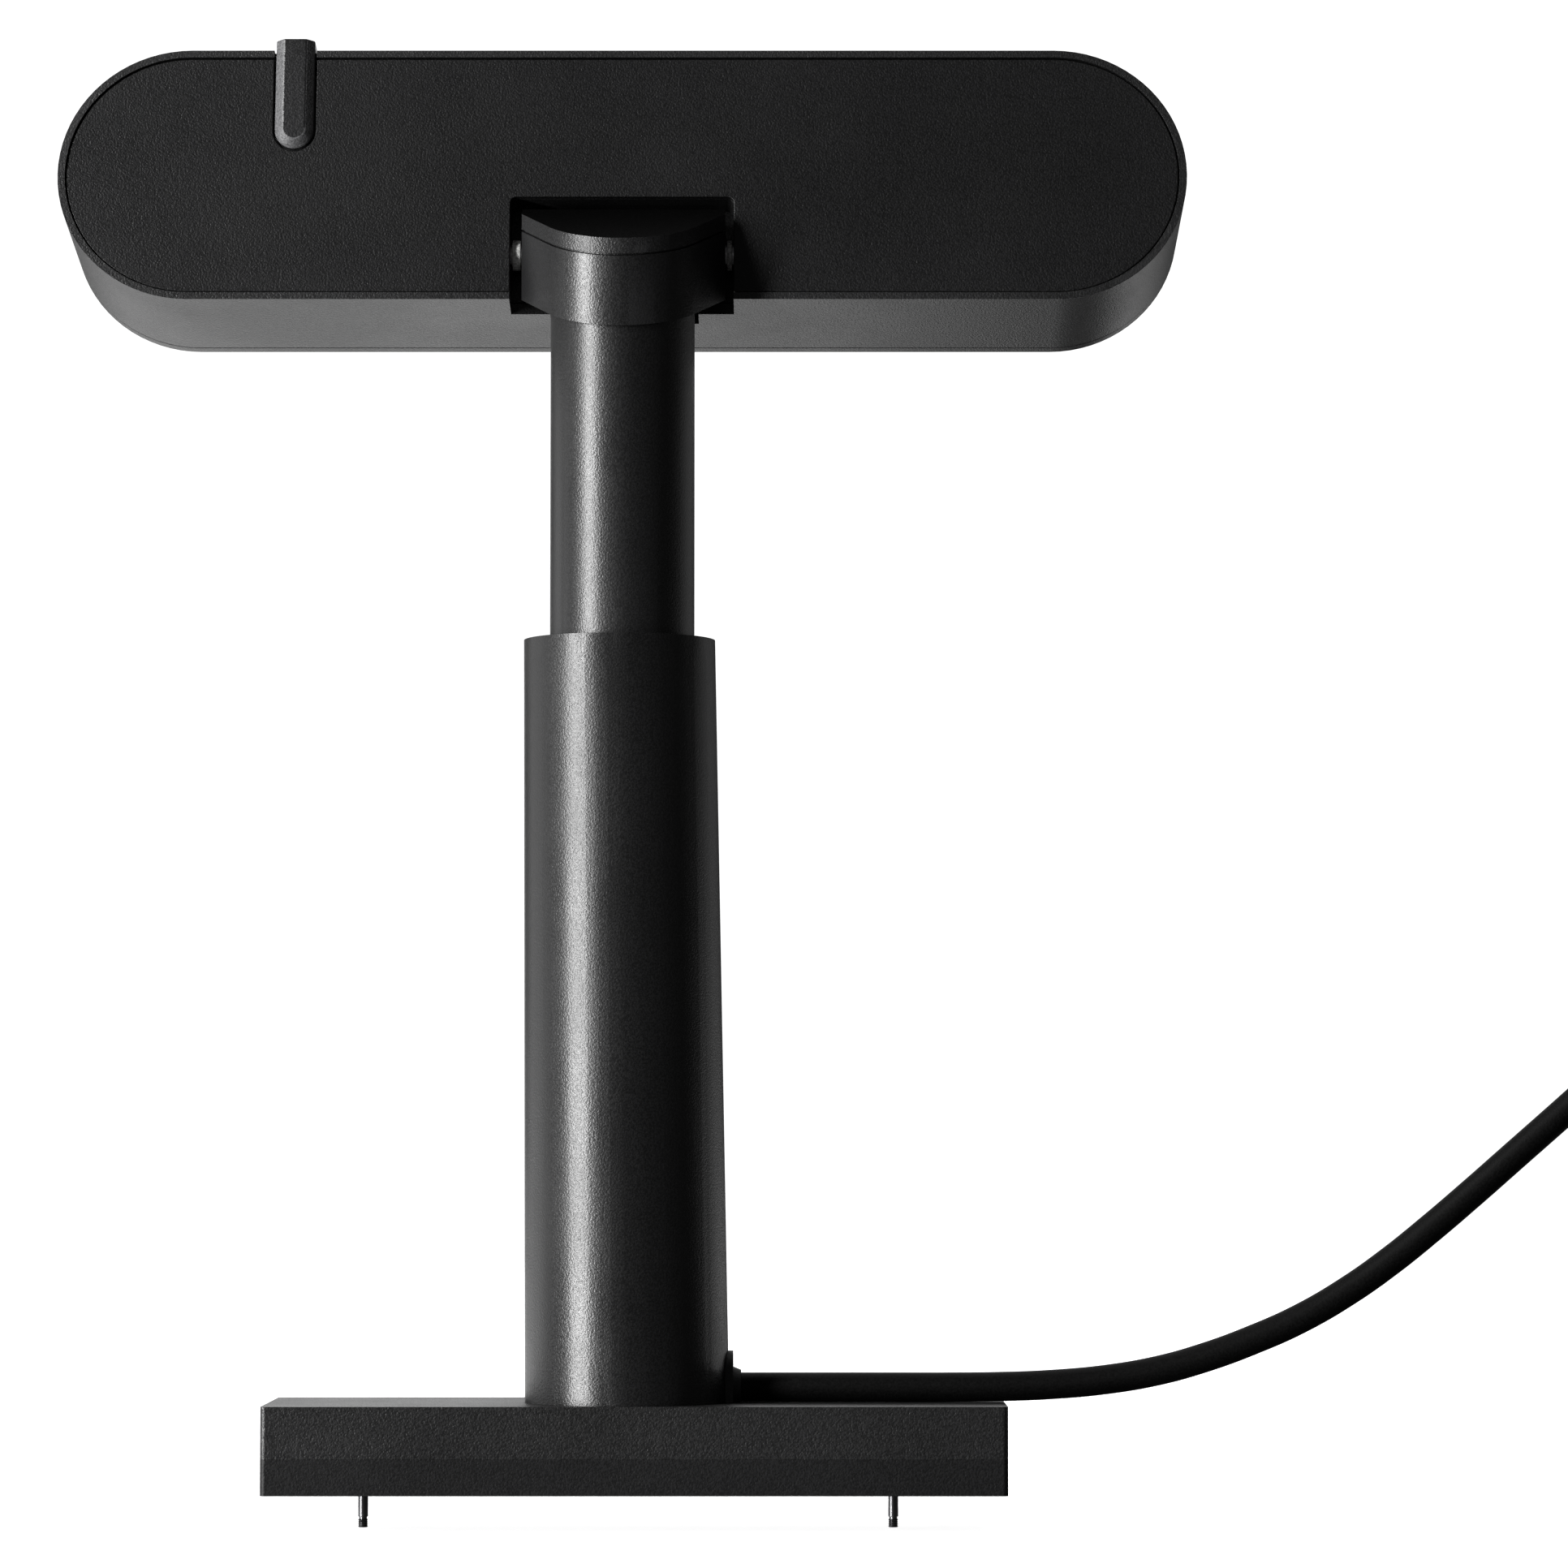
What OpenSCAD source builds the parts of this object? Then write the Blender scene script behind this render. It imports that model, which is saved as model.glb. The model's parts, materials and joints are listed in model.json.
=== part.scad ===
// Document camera on a screw-down arm: a base bar, a telescopic arm and a tilting camera head.
// Millimetres. The origin is midway between the two mounting screws, on the mounting face.
// +Z runs along the arm, +X along the base bar and +Y is the side that the lens looks to.

/* [Base] */
// length of the base bar
base_l = 138.8; // [120:0.2:160]
// depth of the base bar
base_d = 40.4; // [36:0.2:50]
// height of the base bar, wall plate and cover together
base_h = 16.5; // [14:0.1:22]
// height of the wall plate, up to the seam
plate_h = 6.8; // [5:0.1:9]
// middle of the base bar, measured from the middle of the screws
base_x = 1.6; // [-3:0.1:3]
// distance between the mounting screws
screw_pitch = 100; // [80:1:120]
// radius of a mounting screw's thread
screw_r = 0.95; // [0.8:0.05:2]
// how far the mounting screws stand out below the base
screw_out = 7; // [4:0.5:12]
// wall of the base cover
cover_wall = 2.2; // [1.5:0.1:3]

/* [Arm] */
// place of the arm's axis along the base
arm_x = -1.4; // [-4:0.1:4]
// height of the outer sleeve's top rim
sleeve_top = 160.8; // [140:0.2:190]
// radius of the sleeve at its foot
sleeve_r_low = 19.3; // [18:0.05:22]
// radius of the sleeve at its rim
sleeve_r_high = 18.2; // [17.5:0.05:21]
// how far the sleeve's foot is offset from the arm's axis
sleeve_off_low = 1.15; // [0:0.05:2]
// how far the sleeve's rim is offset from the arm's axis
sleeve_off_high = -0.5; // [-1:0.05:1]
// radius of the sleeve's bore
bore_r = 16.2; // [15:0.05:16.8]
// outer radius of the sliding tube
tube_r = 13.75; // [12:0.05:14.5]
// wall of the sliding tube
tube_wall = 1.5; // [1:0.1:2.5]
// lower end of the sliding tube when the arm is pushed in
tube_in = 46; // [42:1:55]
// travel of the sliding tube from the drawn place, each way
slide_travel = 45; // [40:1:45]
// radial clearance of the running fits
fit_gap = 0.06; // [0.02:0.01:0.1]

/* [Hinge] */
// place of the tilt axis behind the arm's axis
hinge_y = 9; // [6:0.1:12]
// height of the tilt axis
hinge_z = 236; // [220:0.5:260]
// radius of the hinge pin
pin_r = 2; // [1.5:0.1:3]
// half width of the knuckle
knuckle_w = 19.5; // [18:0.1:20.5]
// radius of the knuckle's rounded front
knuckle_front_r = 16; // [14:0.1:18]
// slope of the knuckle's upper and lower faces, in degrees
knuckle_slope = 22.5; // [18:0.5:26]
// height of the knuckle's lower rim at its front
knuckle_low = 219.2; // [210:0.1:225]
// height of the knuckle's front wall
knuckle_h = 13.2; // [11:0.1:15]
// thickness of the knuckle's cap
cap_h = 3.4; // [2:0.1:5]

/* [Head] */
// tilt of the head, in degrees
head_tilt = 11; // [0:0.5:20]
// place of the head's middle beside the arm's axis
head_x = -0.35; // [-1:0.05:1]
// half of the head's length
head_half = 108.8; // [95:0.2:120]
// radius of the head's round ends, half of its height
head_r = 25.4; // [22:0.1:28]
// depth of the head, from the plain face to the lens side
head_d = 32; // [26:0.2:38]
// distance of the plain face in front of the tilt axis
face_y = 4.5; // [3:0.1:6]
// distance of the head's lower wall below the tilt axis
head_low = 10.4; // [8:0.1:12]
// wall of the housing
head_wall = 2.2; // [1.6:0.1:3]
// width of the housing's rim around the face plate
rim_w = 1.4; // [1:0.1:2.5]
// half width of the hinge pocket
pocket_w = 21.5; // [21:0.1:23]
// top of the hinge pocket above the tilt axis
pocket_top = 10.5; // [10:0.1:12]
// depth of the hinge pocket at its ends
pocket_d = 8.9; // [8.8:0.1:12]
// depth of the hinge pocket in its middle
pocket_deep = 14.6; // [13:0.1:16]

/* [Button] */
// place of the button along the head
button_x = -63.4; // [-80:0.5:80]
// width of the button
button_w = 7.5; // [5:0.1:10]
// lowest point of the button above the tilt axis
button_low = 20.3; // [15:0.1:30]
// how far the button stands out of the face
button_out = 1.3; // [0.8:0.1:2]
// how far the button stands out of the head's top
button_over = 2; // [1:0.1:3]

/* [Cord] */
// diameter of the cord
cord_d = 5.6; // [4:0.1:8]
// sides of the cord's tube
cord_sides = 10; // [8:1:12]

/* [Hidden] */
eps = 0.01;
$fn = 96;
black = [0.05, 0.05, 0.055];
soft_black = [0.08, 0.08, 0.085];
steel = [0.6, 0.61, 0.63];
brass = [0.75, 0.6, 0.3];
board_green = [0.05, 0.25, 0.12];
nylon = [0.6, 0.6, 0.58];
glass = [0.1, 0.12, 0.15, 0.5];

// base: tapped lugs, counterbores and the terminal board
lug_x = 44;
lug = [12, 5, 6.2];
lug_y = base_d / 2 - cover_wall - 0.2;
recess_z = 3.4;
// the mounting screws have a shoulder in the plate, wider than their thread
neck_r = screw_r + 0.25;
board_z = plate_h + 0.5;
board_t = 1.2;

// sleeve: its height, and the slant of its outside in degrees
sleeve_h = sleeve_top - base_h;
sleeve_slant = atan((sleeve_off_high - sleeve_off_low) / sleeve_h);
rim_round = 0.6;
foot_h = 8;
foot_angles = [45, 135, 225, 315];
foot_pcd = 12.2;
// lower end of the sliding tube with the arm half out
tube_low = tube_in + slide_travel;
// groove and rib that keep the sliding tube from turning
key_w = 4;
key_d = 0.8;
guide_h = 12;
guide_angles = [90, 210, 330];
bush_h = 12.5;
ring_h = 2.4;
ring_z = sleeve_top - 7;
lead_z = base_h + foot_h + 3;

// cord: it lies on the base, and leaves the gland at gland_x
cord_z = base_h + cord_d / 2;
gland_x = 21.3;
gland_w = 10;
gland_top = 26.2;
plug_l = 24;
// route of the cord in x and z, from the gland to the plug
cord_route = [
    [21.3, 19.3], [30, 19.3], [40, 19.3], [50, 19.3], [60, 19.3], [70, 19.4],
    [80, 19.8], [90, 20.7], [100, 22.4], [109, 24.9], [118, 28.2], [127, 32.2],
    [136, 37.4], [144, 43.0], [152, 49.4], [160, 56.2], [168, 63.2], [176, 70.2],
    [184, 77.3]];

// knuckle: its lower and upper faces rise to the back
slope = tan(knuckle_slope);
knuckle_y = -14.4;
// angle along the round front at which the straight flanks begin
flank_a = 60;
// half thickness of its plate, and the plate's middle beside the hinge
half_t = knuckle_h * cos(knuckle_slope) / 2;
mid_z = knuckle_low + knuckle_h / 2 + (hinge_y - knuckle_y) * slope;
mid_off = (mid_z - hinge_z) * cos(knuckle_slope);
// half width of the knuckle's hinge barrel, and its radius
ear_w = 17.2;
barrel_r = 6;
// shadow gap between the knuckle and its cap
seam_h = 0.4;
seam_in = 0.6;
cap_screw_x = [-8.5, 8.5];
cap_screw_y = -3;
cap_screw_low = 217.5;
cap_screw_top = 239.2;
pin_half = 33;
// outer radius of the hinge's bushes, small enough to clear the face plate
bush_r = 2.8;
// play between a washer and the part beside it
washer_gap = 0.35;

// head: straight run on each side of its middle, and heights above the tilt axis
head_run = head_half - head_r;
head_mid = head_r - head_low;
head_top = head_mid + head_r;
// the face plate is set in by plate_in and rests on the seat
plate_in = 0.4;
face_t = 1.2;
plate_gap = 0.25;
seat_y = -face_y + plate_in + face_t;
// depths of the lens-side cover
lens_cover_t = 3.2;
lens_cover_y = head_d - face_y - lens_cover_t;
head_back = head_d - face_y;
cover_screw_at = [for (sx = [-1, 1], sy = [-1, 1]) [sx * 70, sy * (head_r - 1.1)]];
window_run = head_run - 6;
window_r = 17;
lens_y = 13.6;
board_y = 8;

// hinge pocket: half widths of its deep part for the knuckle and for the tube
pocket_round = 1.3;
pocket_mid_w = 17.6;
pocket_tube_w = tube_r + 0.55;
liner_t = 1.5;
liner_low = -head_low + head_wall + 0.2;
bracket_x = pocket_w + liner_t;

// button: tray, post and switch behind it
tray_t = 1.2;
post_z = 31;
switch_y = seat_y + tray_t + 1.6;
spring_r = 2.3;
spring_wire = 0.22;
spring_turns = 2.5;
spring_h = 1.1;

// ---------- shared shapes ----------

// A bar with square edges and upright corners rounded to radius r.
module bar(size, r, z0 = 0) {
    translate([-size.x / 2 + r, -size.y / 2, z0]) cube([size.x - 2 * r, size.y, size.z]);
    translate([-size.x / 2, -size.y / 2 + r, z0]) cube([size.x, size.y - 2 * r, size.z]);
    for (sx = [-1, 1], sy = [-1, 1])
        translate([sx * (size.x / 2 - r), sy * (size.y / 2 - r), z0])
            cylinder(r = r, h = size.z, $fn = 48);
}

// A round bar along X, centred on the y and z axes.
module rod_x(r, x0, x1) {
    translate([x0, 0, 0]) rotate([0, 90, 0]) cylinder(r = r, h = x1 - x0, $fn = 64);
}

// A round bar along Y.
module rod_y(r, y0, y1) {
    translate([0, y0, 0]) rotate([-90, 0, 0]) cylinder(r = r, h = y1 - y0, $fn = 64);
}

// The arm's own frame: z as the part's, x and y from the arm's axis.
module on_arm() {
    translate([arm_x, 0, 0]) children();
}

// The head's own frame: the tilt axis is X, y is the depth and z the height.
module on_head() {
    translate([arm_x + head_x, hinge_y, hinge_z]) rotate([-head_tilt, 0, 0]) children();
}

// A pill outline of radius r about the head's middle, from depth y0 to y1.
module pill(r, y0, y1) {
    translate([0, y0, head_mid]) rotate([-90, 0, 0]) linear_extrude(y1 - y0) {
        square([2 * head_run, 2 * r], center = true);
        for (s = [-1, 1]) translate([s * head_run, 0]) circle(r = r, $fn = 160);
    }
}

// A pan-head screw along -Z: the head's underside is at z = 0.
module screw_down(r, l, head_r, head_h) {
    translate([0, 0, -l]) cylinder(r = r, h = l + eps, $fn = 32);
    difference() {
        cylinder(r = head_r, h = head_h, $fn = 48);
        for (a = [0, 90]) rotate(a) translate([-head_r * 0.6, -head_r * 0.12, head_h * 0.5])
            cube([head_r * 1.2, head_r * 0.24, head_h]);
    }
}

// ---------- base ----------

module wall_plate() {
    color(black) {
        difference() {
            translate([base_x, 0, 0]) bar([base_l, base_d, plate_h], 1);
            // counterbores that hold the heads of the mounting screws
            for (s = [-1, 1]) translate([s * screw_pitch / 2, 0, 0]) {
                translate([0, 0, -1]) cylinder(r = neck_r + 0.15, h = plate_h + 2, $fn = 48);
                translate([0, 0, recess_z]) cylinder(r = 3, h = plate_h, $fn = 48);
            }
            // well for the leads below the arm
            translate([arm_x, 0, recess_z]) cylinder(r = 11, h = plate_h);
        }
        // tapped lugs for the lock screws
        for (s = [-1, 1]) difference() {
            translate([base_x + s * lug_x - lug.x / 2, lug_y - lug.y, plate_h]) cube(lug);
            translate([base_x + s * lug_x, 0, plate_h + 3]) rod_y(1.25, lug_y - lug.y - 1, lug_y + 1);
        }
    }
}

module base_cover() {
    inner = [base_l - 2 * cover_wall, base_d - 2 * cover_wall, base_h - plate_h - cover_wall];
    color(black) difference() {
        translate([base_x, 0, 0]) bar([base_l, base_d, base_h - plate_h], 1, plate_h);
        translate([base_x - inner.x / 2, -inner.y / 2, plate_h - eps])
            cube([inner.x, inner.y, inner.z + eps]);
        // way up for the leads, and the screws that hold the sleeve
        translate([arm_x, 0, plate_h]) cylinder(r = 8.5, h = base_h);
        for (a = foot_angles) translate([arm_x, 0, plate_h]) rotate(a) translate([foot_pcd, 0, 0])
            cylinder(r = 1.6, h = base_h, $fn = 32);
        for (s = [-1, 1]) translate([base_x + s * lug_x, 0, plate_h + 3])
            rod_y(1.7, base_d / 2 - cover_wall - 1, base_d / 2 + 1);
    }
}

module mounting_screws() {
    core = screw_r * 0.8;
    groove_z = -screw_out + 1.75;
    pitch = 0.4;
    color(steel) for (s = [-1, 1]) translate([s * screw_pitch / 2, 0, 0]) {
        // shoulder in the plate, pan head, and the plain shank below
        cylinder(r = neck_r, h = recess_z + eps, $fn = 48);
        translate([0, 0, recess_z]) difference() {
            cylinder(r = 2.6, h = 2.2, $fn = 48);
            for (a = [0, 90]) rotate(a) translate([-1.6, -0.35, 1]) cube([3.2, 0.7, 2]);
        }
        translate([0, 0, groove_z + 0.25]) cylinder(r = screw_r, h = -groove_z - 0.25, $fn = 48);
        // groove, then the ridges of the thread down to the flat end
        translate([0, 0, -screw_out]) cylinder(r = core, h = screw_out + groove_z + 0.3, $fn = 48);
        for (z = [-screw_out : pitch : groove_z - pitch]) translate([0, 0, z]) {
            cylinder(r1 = core, r2 = screw_r, h = pitch / 2, $fn = 48);
            translate([0, 0, pitch / 2]) cylinder(r1 = screw_r, r2 = core, h = pitch / 2, $fn = 48);
        }
    }
}

module lock_screws() {
    color(steel) for (s = [-1, 1]) translate([base_x + s * lug_x, 0, plate_h + 3]) difference() {
        rod_y(1.25, lug_y - lug.y + 0.5, base_d / 2 - 0.6);
        rod_y(0.6, base_d / 2 - 2, base_d / 2);
    }
}

module terminal_board() {
    color(board_green) difference() {
        translate([arm_x + 14, -11, board_z]) cube([44, 22, board_t]);
        // clear of the mounting screw's counterbore, so a driver can reach it
        translate([screw_pitch / 2, 0, 0]) cylinder(r = 3.4, h = base_h, $fn = 48);
    }
    // terminal block, supply converter and chips
    color(soft_black) {
        translate([arm_x + 16, -8, board_z + board_t]) cube([6, 16, 4]);
        translate([arm_x + 26, -7, board_z + board_t]) cube([9, 7, 3]);
        translate([arm_x + 26, 2, board_z + board_t]) cube([7, 7, 1.2]);
        translate([arm_x + 40, -9, board_z + board_t]) cube([6, 4, 2]);
    }
}

// ---------- outer sleeve and what it holds ----------

// The slanted cone of the sleeve's outside, taken in by inset.
module sleeve_outside(inset = 0) {
    translate([sleeve_off_low, 0, base_h]) rotate([0, sleeve_slant, 0]) translate([0, 0, -4])
        cylinder(r1 = sleeve_r_low + 4 * (sleeve_r_low - sleeve_r_high) / sleeve_h - inset,
            r2 = sleeve_r_high - 4 * (sleeve_r_low - sleeve_r_high) / sleeve_h - inset,
            h = sleeve_h + 8, $fn = 160);
}

module outer_sleeve() {
    color(black) on_arm() difference() {
        intersection() {
            sleeve_outside();
            translate([-30, -30, base_h]) cube([60, 60, sleeve_h]);
        }
        translate([0, 0, base_h - 1]) cylinder(r = bore_r, h = sleeve_h + 2, $fn = 128);
        // groove at the back that keys the sliding tube
        translate([-key_w / 2, 0, base_h + foot_h + 2])
            cube([key_w, bore_r + key_d, sleeve_h - foot_h - bush_h - 2]);
        gland_space(0);
    }
}

// The gland's outline through the sleeve's wall: a block with an arched top.
module gland_space(grow) {
    x0 = 9;
    translate([x0, 0, 0]) rotate([90, 0, 90]) linear_extrude(gland_x - arm_x - x0 - 1.5) {
        translate([-gland_w / 2, base_h]) square([gland_w, gland_top - gland_w / 2 - base_h]);
        translate([0, gland_top - gland_w / 2]) circle(r = gland_w / 2 + grow, $fn = 64);
    }
}

module cable_gland() {
    lip = 1.5;
    color(soft_black) on_arm() difference() {
        union() {
            gland_space(0);
            // the mouth outside the sleeve draws in towards the cord
            translate([gland_x - arm_x - lip, 0, cord_z]) rotate([0, 90, 0])
                cylinder(r1 = 3.9, r2 = 3.3, h = lip - eps, $fn = 64);
        }
        // the cord's way through, and a flat where the gland sits on the base
        translate([0, 0, cord_z]) rod_x(cord_d / 2 - 0.3, 8, gland_x - arm_x - 1.4);
        translate([0, 0, cord_z]) rod_x(cord_d / 2, gland_x - arm_x - 1.5, gland_x - arm_x + 1);
        translate([0, -20, base_h - 10]) cube([40, 40, 10]);
    }
}

module cord_tail() {
    // the cord's inner end, gripped by the gland and turned down to the terminals
    color(black) on_arm() {
        translate([0, 0, cord_z]) rod_x(cord_d / 2 - 0.3, 4.5, gland_x - arm_x - 1.5);
        translate([4.5, 0, cord_z]) sphere(r = cord_d / 2 - 0.3, $fn = 32);
        translate([4.5, 0, 9]) cylinder(r = cord_d / 2 - 0.3, h = cord_z - 9, $fn = 32);
    }
}

module sleeve_foot() {
    color(soft_black) on_arm() difference() {
        translate([0, 0, base_h]) cylinder(r = bore_r, h = foot_h, $fn = 128);
        translate([0, 0, base_h - 1]) cylinder(r = 8.5, h = foot_h + 2);
        for (a = foot_angles) rotate(a) translate([foot_pcd, 0, base_h - 1])
            cylinder(r = 1.25, h = foot_h - 1, $fn = 32);
        // channel for the gland
        translate([6, -gland_w / 2, base_h - 1]) cube([20, gland_w, foot_h + 2]);
    }
}

module foot_screws() {
    top = base_h - cover_wall;
    color(steel) on_arm() for (a = foot_angles) rotate(a) translate([foot_pcd, 0, top]) {
        cylinder(r = 1.25, h = 7, $fn = 32);
        translate([0, 0, -1.6]) difference() {
            cylinder(r = 2.4, h = 1.6, $fn = 32);
            for (b = [0, 90]) rotate(b) translate([-1.4, -0.3, -1]) cube([2.8, 0.6, 1.7]);
        }
    }
}

module top_bush() {
    color(soft_black) on_arm() difference() {
        translate([0, 0, sleeve_top - bush_h]) cylinder(r = bore_r, h = bush_h - rim_round, $fn = 128);
        translate([0, 0, sleeve_top - bush_h - 1]) cylinder(r = tube_r + fit_gap, h = bush_h + 2, $fn = 128);
        translate([0, 0, ring_z]) cylinder(r = tube_r + 1.4, h = ring_h, $fn = 128);
    }
}

module friction_ring() {
    color(black) on_arm() translate([0, 0, ring_z]) difference() {
        cylinder(r = tube_r + 1.4, h = ring_h, $fn = 128);
        translate([0, 0, -1]) cylinder(r = tube_r + 0.03, h = ring_h + 2, $fn = 128);
    }
}

// ---------- cord ----------

// Direction of the route at point i, as a unit vector in x and z.
function route_dir(i) = let (a = cord_route[max(i - 1, 0)],
    b = cord_route[min(i + 1, len(cord_route) - 1)], d = b - a) d / norm(d);
// One ring of the cord's tube, square to the route.
function cord_ring(i) = let (p = cord_route[i], t = i == 0 ? [1, 0] : route_dir(i))
    [for (k = [0 : cord_sides - 1]) let (a = 360 * k / cord_sides)
        [p.x - t.y * sin(a) * cord_d / 2, cos(a) * cord_d / 2, p.y + t.x * sin(a) * cord_d / 2]];

module cord() {
    n = len(cord_route);
    m = cord_sides;
    color(black) polyhedron(
        points = [for (i = [0 : n - 1]) each cord_ring(i)],
        faces = concat([[for (k = [0 : m - 1]) k]],
            [for (i = [0 : n - 2], k = [0 : m - 1])
                [i * m + k, (i + 1) * m + k, (i + 1) * m + (k + 1) % m, i * m + (k + 1) % m]],
            [[for (k = [m - 1 : -1 : 0]) (n - 1) * m + k]]));
}

// The far end's frame: z runs on along the cord.
module at_cord_end() {
    last = cord_route[len(cord_route) - 1];
    t = route_dir(len(cord_route) - 1);
    translate([last.x, 0, last.y]) rotate([0, atan2(t.x, t.y), 0]) children();
}

module cord_plug() {
    color(soft_black) at_cord_end() {
        // moulded relief, grip and nose
        cylinder(r1 = cord_d / 2 + 0.4, r2 = 4.2, h = 9, $fn = 48);
        translate([0, 0, 9]) cylinder(r = 5.4, h = plug_l - 9, $fn = 64);
        for (z = [11 : 2 : 19]) translate([0, 0, z]) cylinder(r = 5.7, h = 1, $fn = 64);
    }
}

module plug_contact() {
    color(steel) at_cord_end() translate([0, 0, plug_l]) difference() {
        cylinder(r = 2.75, h = 9.5, $fn = 48);
        translate([0, 0, 1]) cylinder(r = 1.25, h = 10, $fn = 32);
    }
}

// ---------- leads inside the arm ----------

module curly_lead() {
    // outer shape of the curly lead that lets the arm slide
    color(black) on_arm() difference() {
        translate([0, 0, lead_z]) cylinder(r = 8, h = tube_low - lead_z, $fn = 64);
        translate([0, 0, lead_z - 1]) cylinder(r = 3.5, h = tube_low - lead_z + 2, $fn = 48);
    }
}

module arm_lead() {
    color(black) on_arm() translate([0, 0, tube_low + 0.5])
        cylinder(r = 2.2, h = 219 - tube_low, $fn = 32);
}

// ---------- sliding tube and knuckle ----------

// Half space above the plane through the knuckle's lower rim, moved up by dz.
module above_slope(dz) {
    translate([0, knuckle_y, knuckle_low + dz]) rotate([knuckle_slope, 0, 0])
        translate([-40, -40, 0]) cube([80, 100, 60]);
}

// Space at the back that the head's lower wall swings through.
module swing_relief() {
    translate([-40, 7.2, 221.8]) rotate([-44, 0, 0]) cube([80, 60, 60]);
}

module inner_tube() {
    color(black) on_arm() difference() {
        translate([0, 0, tube_low]) cylinder(r = tube_r, h = 145, $fn = 160);
        translate([0, 0, tube_low - 1]) cylinder(r = tube_r - tube_wall, h = 150, $fn = 128);
        above_slope(0);
        swing_relief();
        for (a = guide_angles) rotate(a) translate([0, 0, tube_low + guide_h / 2])
            rod_x(1, 10, 20);
    }
}

module lower_guide() {
    color(soft_black) on_arm() difference() {
        translate([0, 0, tube_low]) union() {
            cylinder(r = bore_r - fit_gap, h = guide_h, $fn = 128);
            translate([-key_w / 2 + 0.2, 0, 0]) cube([key_w - 0.4, bore_r + key_d - 0.3, guide_h]);
        }
        translate([0, 0, tube_low - 1]) cylinder(r = tube_r, h = guide_h + 2, $fn = 160);
        for (a = guide_angles) rotate(a) translate([0, 0, tube_low + guide_h / 2])
            rod_x(1, 10, 20);
    }
}

module guide_pins() {
    color(steel) on_arm() for (a = guide_angles) rotate(a)
        translate([0, 0, tube_low + guide_h / 2]) rod_x(1, 12.6, 15.8);
}

// Plan of the knuckle, taken in by inset: a round front between straight flanks.
module knuckle_plan(back, inset = 0) {
    cy = knuckle_y + knuckle_front_r;
    r = knuckle_front_r - inset;
    w = knuckle_w - inset;
    tx = r * sin(flank_a);
    ty = cy - r * cos(flank_a);
    flank_y = ty + (w - tx) * tan(flank_a);
    intersection() {
        union() {
            translate([0, cy]) circle(r = r, $fn = 128);
            polygon([[-tx, ty], [tx, ty], [w, flank_y], [w, back], [-w, back], [-w, flank_y]]);
        }
        translate([-w, knuckle_y - 1]) square([2 * w, back - knuckle_y + 1]);
    }
}

// Side outline of the knuckle's plate between x0 and x1. It ends in a barrel of radius r,
// and begins to narrow at the distance neck in front of the hinge.
module knuckle_side(x0, x1, r, neck) {
    low = mid_off - half_t;
    high = mid_off + half_t;
    translate([x0, hinge_y, hinge_z]) rotate([90, 0, 90]) linear_extrude(x1 - x0) {
        circle(r = r, $fn = 64);
        rotate(knuckle_slope) polygon([[-40, low], [-neck, low], [-0.35 * r, -0.93 * r], [0, 0],
            [-0.35 * r, 0.93 * r], [-1.5 - 0.4 * r, high], [-40, high]]);
    }
}

module knuckle_body() {
    color(black) on_arm() difference() {
        union() {
            intersection() {
                translate([0, 0, 205]) linear_extrude(60) knuckle_plan(hinge_y + 8);
                union() {
                    knuckle_side(-ear_w, ear_w, barrel_r, 3.5);
                    // the outer strips are slimmer, so the pocket's shallow ends clear them
                    for (x = [-knuckle_w, ear_w - eps])
                        knuckle_side(x, x + knuckle_w - ear_w + eps, 4, 6.5);
                }
            }
            // spigot inside the tube
            difference() {
                translate([0, 0, 206]) cylinder(r = tube_r - tube_wall, h = 26, $fn = 128);
                above_slope(1);
                swing_relief();
            }
        }
        // cavity for the lead
        translate([0, 0, 200]) cylinder(r = 6, h = 26, $fn = 48);
        translate([0, hinge_y, hinge_z]) rod_x(pin_r, -30, 30);
        cap_screw_holes();
    }
}

module cap_screw_holes() {
    for (x = cap_screw_x) translate([x, cap_screw_y, 0]) {
        translate([0, 0, cap_screw_low - 1])
            cylinder(r = 1.1, h = cap_screw_top - cap_screw_low + 1.3, $fn = 32);
        // counterbore from below
        translate([0, 0, 200]) cylinder(r = 2.1, h = cap_screw_low - 200, $fn = 32);
    }
}

// Slab of height h that starts dz above the seam plane.
module seam_slab(dz, h) {
    translate([0, knuckle_y, knuckle_low + knuckle_h]) rotate([knuckle_slope, 0, 0])
        translate([-40, -5, dz]) cube([80, 60, h]);
}

module knuckle_cap() {
    cap_back = 8.6;
    cap_t = cap_h * cos(knuckle_slope);
    color(soft_black) on_arm() difference() {
        intersection() {
            union() {
                intersection() {
                    translate([0, 0, 205]) linear_extrude(60) knuckle_plan(hinge_y + 12);
                    seam_slab(seam_h, cap_t - seam_h);
                }
                // the set-in foot of the cap leaves the shadow gap
                intersection() {
                    translate([0, 0, 205]) linear_extrude(60) knuckle_plan(hinge_y + 12, seam_in);
                    seam_slab(0, seam_h + eps);
                }
            }
            // rounded off about the hinge so that the pocket clears it
            union() {
                translate([0, hinge_y, hinge_z]) rod_x(cap_back, -ear_w, ear_w);
                translate([-30, -40, 200]) cube([60, 40 + hinge_y - 2, 80]);
            }
        }
        knuckle_edge_cut();
        // room for the hinge barrel
        translate([0, hinge_y, hinge_z]) rod_x(barrel_r + eps, -30, 30);
        cap_screw_holes();
    }
}

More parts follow.
